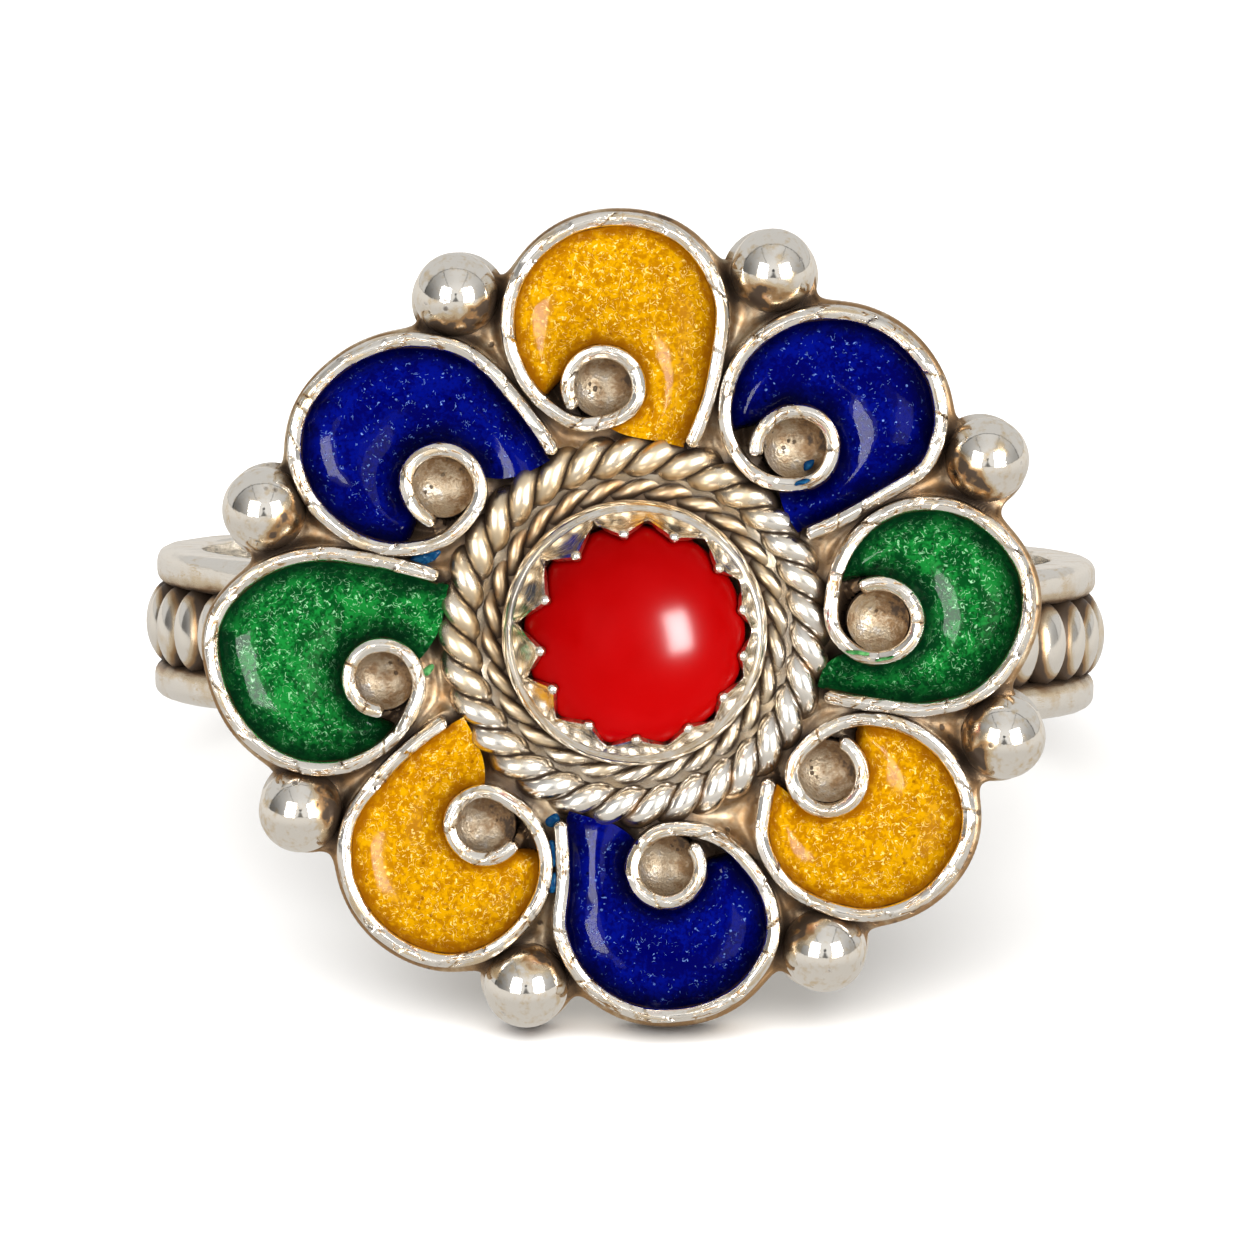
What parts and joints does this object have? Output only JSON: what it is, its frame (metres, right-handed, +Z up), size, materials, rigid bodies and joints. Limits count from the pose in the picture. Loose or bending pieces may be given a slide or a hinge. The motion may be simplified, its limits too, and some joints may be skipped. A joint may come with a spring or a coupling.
{
  "type": "coral ring",
  "caption": "Silver finger ring with a flower head: enamelled scroll petals with balls between them round a twisted-rope frame and a toothed bezel with a domed coral, on a beaded band.",
  "frame": {"origin": "on the surface under the middle of the ring as it lies on its side", "axes": "-Y is where the flower head faces, leaned back from the surface; +Z is up; the finger hole's axis leans from +Z towards +Y"},
  "size_m": [0.0212, 0.024, 0.0171],
  "materials": {
    "oxidised_silver": "polished silver with brown oxidation left in the recesses",
    "red_coral": "high polish",
    "yellow_enamel": "glossy enamel with pale flecks",
    "blue_enamel": "glossy deep enamel with light specks",
    "green_enamel": "glossy mottled enamel with pale fibres"
  },
  "bodies": {
    "root": {"silver_mount": "oxidised_silver", "coral": "red_coral", "enamel_yellow_top": "yellow_enamel", "enamel_blue_upper_right": "blue_enamel", "enamel_green_right": "green_enamel", "enamel_yellow_lower_right": "yellow_enamel", "enamel_blue_bottom": "blue_enamel", "enamel_yellow_lower_left": "yellow_enamel", "enamel_green_left": "green_enamel", "enamel_blue_upper_left": "blue_enamel"}
  },
  "joints": []
}
